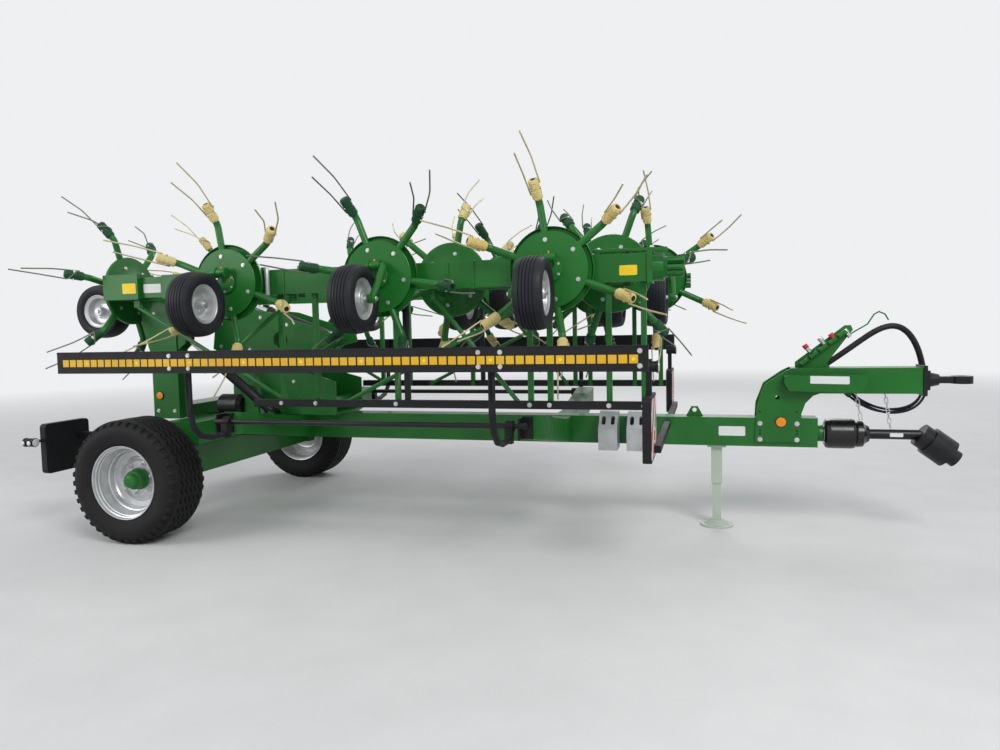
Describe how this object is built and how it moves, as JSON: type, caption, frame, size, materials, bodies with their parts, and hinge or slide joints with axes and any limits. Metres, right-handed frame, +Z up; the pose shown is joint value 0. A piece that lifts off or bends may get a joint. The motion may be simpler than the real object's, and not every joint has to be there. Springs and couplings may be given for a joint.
{
  "type": "trailed rotor hay tedder",
  "caption": "Wide trailed hay tedder folded over its transport chassis and parked on a jack; rotors with bent arms, paired tines and foot wheels turn, side boards fold.",
  "frame": {"origin": "on the ground, under the middle of the machine's length and width", "axes": "+X forward along the drawbar, +Y to the machine's left, +Z up"},
  "size_m": [6.128, 2.91, 2.3884],
  "materials": {
    "black_paint": "semi-gloss paint",
    "black_panel": "coated sheet, matt",
    "black_plastic": "gloss",
    "green_paint": "semi-gloss paint",
    "hose_rubber": "matt rubber",
    "pale_paint": "satin paint",
    "silver_paint": "satin paint",
    "tyre_rubber": "matt rubber",
    "zinc": "zinc plated"
  },
  "bodies": {
    "chassis": {"chassis_beam": "green_paint", "axle_beam": "green_paint", "gooseneck": "green_paint", "drawbar_eye": "black_paint", "pto_shaft": "black_paint", "pto_guard": "black_plastic", "jack_tube": "pale_paint", "lift_tower": "green_paint", "tilt_cylinder": "black_paint", "centre_beam": "green_paint", "wing_beam_right": "green_paint", "wing_beam_left": "green_paint", "inner_beam_right": "green_paint", "inner_beam_left": "green_paint", "foot_brackets_right": "green_paint", "foot_brackets_left": "green_paint", "foot_brackets_rear": "green_paint", "guard_rails_right": "green_paint", "guard_rails_left": "green_paint", "board_carrier": "black_paint", "rear_panels": "black_panel", "front_panels": "black_panel", "hose_holder": "green_paint", "chock_holders": "zinc", "oil_tank": "black_paint", "guard_tubes": "black_paint", "shaft_chains": "zinc", "hose_bundle": "hose_rubber"},
    "jack": {"jack_leg": "pale_paint"},
    "board_right": {"side_board_right": "black_panel"},
    "board_left": {"side_board_left": "black_panel"},
    "wheel_right": {"tyre_right": "tyre_rubber", "rim_right": "silver_paint"},
    "wheel_left": {"tyre_left": "tyre_rubber", "rim_left": "silver_paint"},
    "rotor_right_1": {"rotor_right_1": "green_paint"},
    "rotor_right_2": {"rotor_right_2": "green_paint"},
    "rotor_right_3": {"rotor_right_3": "green_paint"},
    "rotor_right_4": {"rotor_right_4": "green_paint"},
    "rotor_right_5": {"rotor_right_5": "green_paint"},
    "rotor_rear_right": {"rotor_rear_right": "green_paint"},
    "rotor_rear_left": {"rotor_rear_left": "green_paint"},
    "rotor_left_1": {"rotor_left_1": "green_paint"},
    "rotor_left_2": {"rotor_left_2": "green_paint"},
    "rotor_left_3": {"rotor_left_3": "green_paint"},
    "rotor_left_4": {"rotor_left_4": "green_paint"},
    "rotor_left_5": {"rotor_left_5": "green_paint"},
    "foot_wheel_right_1": {"foot_wheel_right_1": "tyre_rubber"},
    "foot_wheel_right_2": {"foot_wheel_right_2": "tyre_rubber"},
    "foot_wheel_right_3": {"foot_wheel_right_3": "tyre_rubber"},
    "foot_wheel_right_4": {"foot_wheel_right_4": "tyre_rubber"},
    "foot_wheel_right_5": {"foot_wheel_right_5": "tyre_rubber"},
    "foot_wheel_rear_right": {"foot_wheel_rear_right": "tyre_rubber"},
    "foot_wheel_rear_left": {"foot_wheel_rear_left": "tyre_rubber"},
    "foot_wheel_left_1": {"foot_wheel_left_1": "tyre_rubber"},
    "foot_wheel_left_2": {"foot_wheel_left_2": "tyre_rubber"},
    "foot_wheel_left_3": {"foot_wheel_left_3": "tyre_rubber"},
    "foot_wheel_left_4": {"foot_wheel_left_4": "tyre_rubber"},
    "foot_wheel_left_5": {"foot_wheel_left_5": "tyre_rubber"}
  },
  "joints": [
    {"name": "rotor_right_1_turn", "type": "hinge", "parent": "chassis", "child": "rotor_right_1", "pos_m": [-1.463, -0.93, 1.673], "axis": [0, -1, 0], "continuous": true},
    {"name": "rotor_right_2_turn", "type": "hinge", "parent": "chassis", "child": "rotor_right_2", "pos_m": [-0.403, -0.93, 1.673], "axis": [0, -1, 0], "continuous": true},
    {"name": "rotor_right_3_turn", "type": "hinge", "parent": "chassis", "child": "rotor_right_3", "pos_m": [0.657, -0.93, 1.673], "axis": [0, -1, 0], "continuous": true},
    {"name": "rotor_right_4_turn", "type": "hinge", "parent": "chassis", "child": "rotor_right_4", "pos_m": [0.937, -0.386, 1.673], "axis": [0, 1, 0], "continuous": true},
    {"name": "rotor_right_5_turn", "type": "hinge", "parent": "chassis", "child": "rotor_right_5", "pos_m": [-0.123, -0.386, 1.673], "axis": [0, 1, 0], "continuous": true},
    {"name": "rotor_rear_right_turn", "type": "hinge", "parent": "chassis", "child": "rotor_rear_right", "pos_m": [-2.592, -0.53, 1.673], "axis": [-1, 0, 0], "continuous": true},
    {"name": "rotor_rear_left_turn", "type": "hinge", "parent": "chassis", "child": "rotor_rear_left", "pos_m": [-2.592, 0.53, 1.673], "axis": [-1, 0, 0], "continuous": true},
    {"name": "rotor_left_1_turn", "type": "hinge", "parent": "chassis", "child": "rotor_left_1", "pos_m": [-1.463, 0.93, 1.673], "axis": [0, 1, 0], "continuous": true},
    {"name": "rotor_left_2_turn", "type": "hinge", "parent": "chassis", "child": "rotor_left_2", "pos_m": [-0.403, 0.93, 1.673], "axis": [0, 1, 0], "continuous": true},
    {"name": "rotor_left_3_turn", "type": "hinge", "parent": "chassis", "child": "rotor_left_3", "pos_m": [0.657, 0.93, 1.673], "axis": [0, 1, 0], "continuous": true},
    {"name": "rotor_left_4_turn", "type": "hinge", "parent": "chassis", "child": "rotor_left_4", "pos_m": [1.127, 0.386, 1.673], "axis": [0, -1, 0], "continuous": true},
    {"name": "rotor_left_5_turn", "type": "hinge", "parent": "chassis", "child": "rotor_left_5", "pos_m": [0.067, 0.386, 1.673], "axis": [0, -1, 0], "continuous": true},
    {"name": "foot_wheel_right_1_roll", "type": "hinge", "parent": "chassis", "child": "foot_wheel_right_1", "pos_m": [-1.503, -1.202, 1.531], "axis": [1, 0, 0], "continuous": true},
    {"name": "foot_wheel_right_2_roll", "type": "hinge", "parent": "chassis", "child": "foot_wheel_right_2", "pos_m": [-0.443, -1.202, 1.531], "axis": [1, 0, 0], "continuous": true},
    {"name": "foot_wheel_right_3_roll", "type": "hinge", "parent": "chassis", "child": "foot_wheel_right_3", "pos_m": [0.617, -1.202, 1.531], "axis": [1, 0, 0], "continuous": true},
    {"name": "foot_wheel_right_4_roll", "type": "hinge", "parent": "chassis", "child": "foot_wheel_right_4", "pos_m": [0.897, -0.114, 1.531], "axis": [-1, 0, 0], "continuous": true},
    {"name": "foot_wheel_right_5_roll", "type": "hinge", "parent": "chassis", "child": "foot_wheel_right_5", "pos_m": [-0.163, -0.114, 1.531], "axis": [-1, 0, 0], "continuous": true},
    {"name": "foot_wheel_rear_right_roll", "type": "hinge", "parent": "chassis", "child": "foot_wheel_rear_right", "pos_m": [-2.864, -0.49, 1.531], "axis": [0, -1, 0], "continuous": true},
    {"name": "foot_wheel_rear_left_roll", "type": "hinge", "parent": "chassis", "child": "foot_wheel_rear_left", "pos_m": [-2.864, 0.49, 1.531], "axis": [0, -1, 0], "continuous": true},
    {"name": "foot_wheel_left_1_roll", "type": "hinge", "parent": "chassis", "child": "foot_wheel_left_1", "pos_m": [-1.503, 1.202, 1.531], "axis": [-1, 0, 0], "continuous": true},
    {"name": "foot_wheel_left_2_roll", "type": "hinge", "parent": "chassis", "child": "foot_wheel_left_2", "pos_m": [-0.443, 1.202, 1.531], "axis": [-1, 0, 0], "continuous": true},
    {"name": "foot_wheel_left_3_roll", "type": "hinge", "parent": "chassis", "child": "foot_wheel_left_3", "pos_m": [0.617, 1.202, 1.531], "axis": [-1, 0, 0], "continuous": true},
    {"name": "foot_wheel_left_4_roll", "type": "hinge", "parent": "chassis", "child": "foot_wheel_left_4", "pos_m": [1.167, 0.114, 1.531], "axis": [1, 0, 0], "continuous": true},
    {"name": "foot_wheel_left_5_roll", "type": "hinge", "parent": "chassis", "child": "foot_wheel_left_5", "pos_m": [0.107, 0.114, 1.531], "axis": [1, 0, 0], "continuous": true},
    {"name": "wheel_right_roll", "type": "hinge", "parent": "chassis", "child": "wheel_right", "pos_m": [-2.108, -1.075, 0.405], "axis": [0, 1, 0], "continuous": true},
    {"name": "wheel_left_roll", "type": "hinge", "parent": "chassis", "child": "wheel_left", "pos_m": [-2.108, 1.075, 0.405], "axis": [0, 1, 0], "continuous": true},
    {"name": "jack_slide", "type": "slide", "parent": "chassis", "child": "jack", "axis": [0, 0, 1], "range_m": [0, 0.16]},
    {"name": "board_right_fold", "type": "hinge", "parent": "chassis", "child": "board_right", "pos_m": [-0.488, -1.06, 0.792], "axis": [1, 0, 0], "range_deg": [0, 70]},
    {"name": "board_left_fold", "type": "hinge", "parent": "chassis", "child": "board_left", "pos_m": [-0.488, 1.06, 0.792], "axis": [-1, 0, 0], "range_deg": [0, 70]}
  ],
  "couplings": [
    {"joint": "rotor_right_2_turn", "follows": "rotor_right_1_turn", "ratio": -1},
    {"joint": "rotor_right_3_turn", "follows": "rotor_right_1_turn", "ratio": 1},
    {"joint": "rotor_right_4_turn", "follows": "rotor_right_1_turn", "ratio": -1},
    {"joint": "rotor_right_5_turn", "follows": "rotor_right_1_turn", "ratio": 1},
    {"joint": "rotor_rear_right_turn", "follows": "rotor_right_1_turn", "ratio": -1},
    {"joint": "rotor_rear_left_turn", "follows": "rotor_right_1_turn", "ratio": 1},
    {"joint": "rotor_left_1_turn", "follows": "rotor_right_1_turn", "ratio": -1},
    {"joint": "rotor_left_2_turn", "follows": "rotor_right_1_turn", "ratio": 1},
    {"joint": "rotor_left_3_turn", "follows": "rotor_right_1_turn", "ratio": -1},
    {"joint": "rotor_left_4_turn", "follows": "rotor_right_1_turn", "ratio": 1},
    {"joint": "rotor_left_5_turn", "follows": "rotor_right_1_turn", "ratio": -1}
  ]
}
